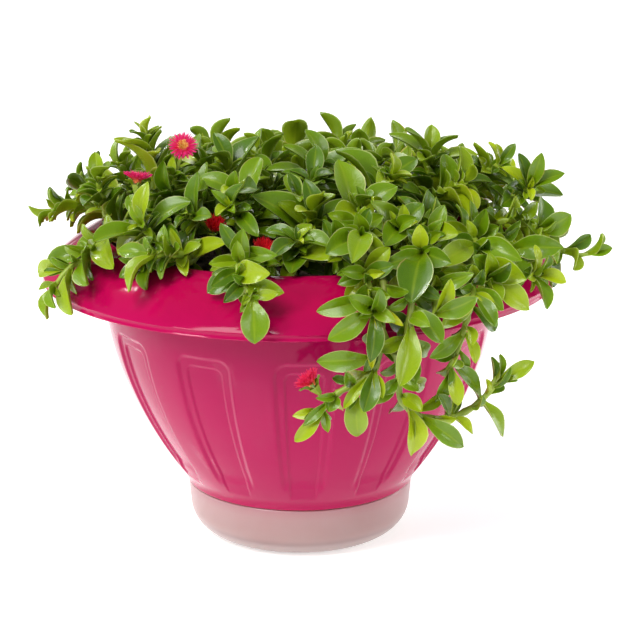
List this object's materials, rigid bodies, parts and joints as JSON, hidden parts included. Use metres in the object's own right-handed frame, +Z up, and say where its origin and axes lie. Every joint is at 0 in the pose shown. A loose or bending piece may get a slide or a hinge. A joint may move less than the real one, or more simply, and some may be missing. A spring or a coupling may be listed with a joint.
{
  "type": "potted ice plant",
  "caption": "Trailing ice plant with fleshy leaves and small pink-red flowers in a round pink plastic bowl with a turned-down brim, on a shallow saucer.",
  "frame": {"origin": "centre of the saucer's flat underside", "axes": "+Z up; the side that the picture shows, where the longest stems hang over the brim, faces -Y; +X is to the right in the picture"},
  "size_m": [0.2883, 0.2806, 0.222],
  "materials": {
    "pot": "satin",
    "saucer": "satin",
    "soil": "matte",
    "foliage": "satin",
    "petals": "matte",
    "stamens": "matte"
  },
  "bodies": {
    "root": {"bloom_back": "petals", "bloom_centre": "petals", "bloom_left_bud": "petals", "bloom_low": "petals", "bloom_open": "petals", "bloom_open_eye": "stamens", "pot": "pot", "saucer": "saucer", "soil": "soil", "stem_big_down": "foliage", "stem_centre_bright": "foliage", "stem_centre_hollow": "foliage", "stem_centre_right": "foliage", "stem_filler_01": "foliage", "stem_filler_02": "foliage", "stem_filler_03": "foliage", "stem_filler_04": "foliage", "stem_filler_05": "foliage", "stem_filler_06": "foliage", "stem_filler_07": "foliage", "stem_filler_08": "foliage", "stem_filler_09": "foliage", "stem_filler_10": "foliage", "stem_filler_11": "foliage", "stem_filler_12": "foliage", "stem_filler_13": "foliage", "stem_filler_14": "foliage", "stem_filler_15": "foliage", "stem_filler_16": "foliage", "stem_filler_17": "foliage", "stem_filler_18": "foliage", "stem_front_folded": "foliage", "stem_front_hanging": "foliage", "stem_front_right": "foliage", "stem_front_rosette": "foliage", "stem_front_yellow": "foliage", "stem_left_arch": "foliage", "stem_left_brim": "foliage", "stem_left_far": "foliage", "stem_left_flower": "foliage", "stem_left_small": "foliage", "stem_left_trailing": "foliage", "stem_left_upper": "foliage", "stem_left_upright": "foliage", "stem_right_back": "foliage", "stem_right_end": "foliage", "stem_right_low": "foliage", "stem_right_round": "foliage", "stem_right_upper": "foliage", "stem_top_centre": "foliage", "stem_top_left": "foliage", "stem_top_right": "foliage", "stem_trailing_left": "foliage", "stem_trailing_mid": "foliage", "stem_trailing_right": "foliage"}
  },
  "joints": []
}
